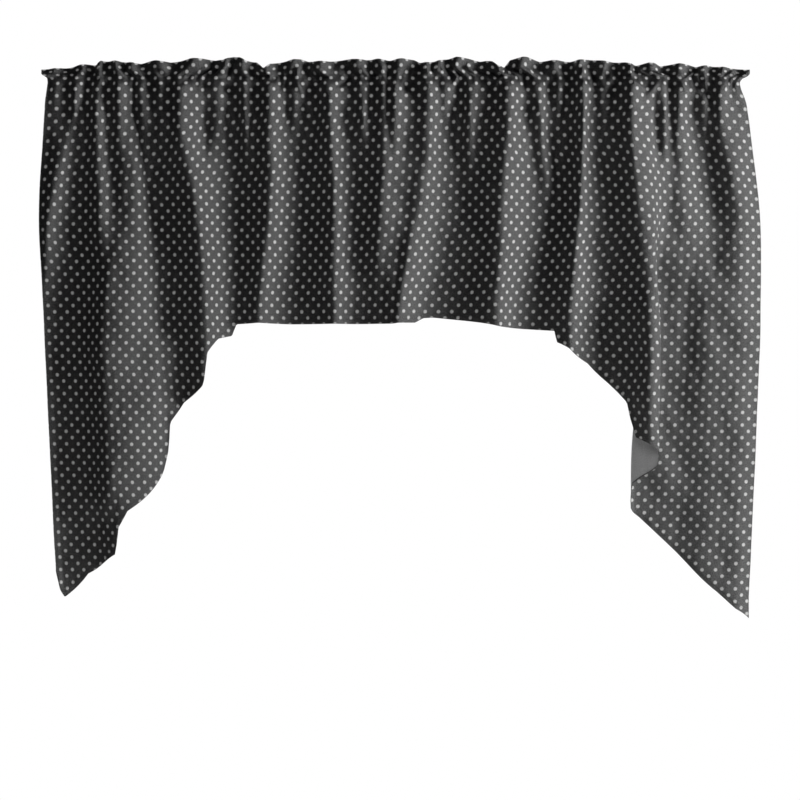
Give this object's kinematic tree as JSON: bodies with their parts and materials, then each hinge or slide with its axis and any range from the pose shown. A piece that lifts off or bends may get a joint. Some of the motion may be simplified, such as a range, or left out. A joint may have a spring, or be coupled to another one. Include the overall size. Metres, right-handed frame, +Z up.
{
  "type": "valance",
  "caption": "Arched rod-pocket valance of printed cloth, gathered under a frilled heading, with a level centre and two long pointed tails.",
  "frame": {"origin": "middle of the heading's top edge, in the plane of the rod's axis", "axes": "+X along the rod to the right as seen from the room, +Y away from the room to the window, +Z up"},
  "size_m": [1.2271, 0.0655, 0.9497],
  "materials": {
    "printed_cloth": "soft matt poly-cotton, near-black with small light grey dots"
  },
  "bodies": {
    "root": {"heading": "printed_cloth", "skirt": "printed_cloth"}
  },
  "joints": []
}
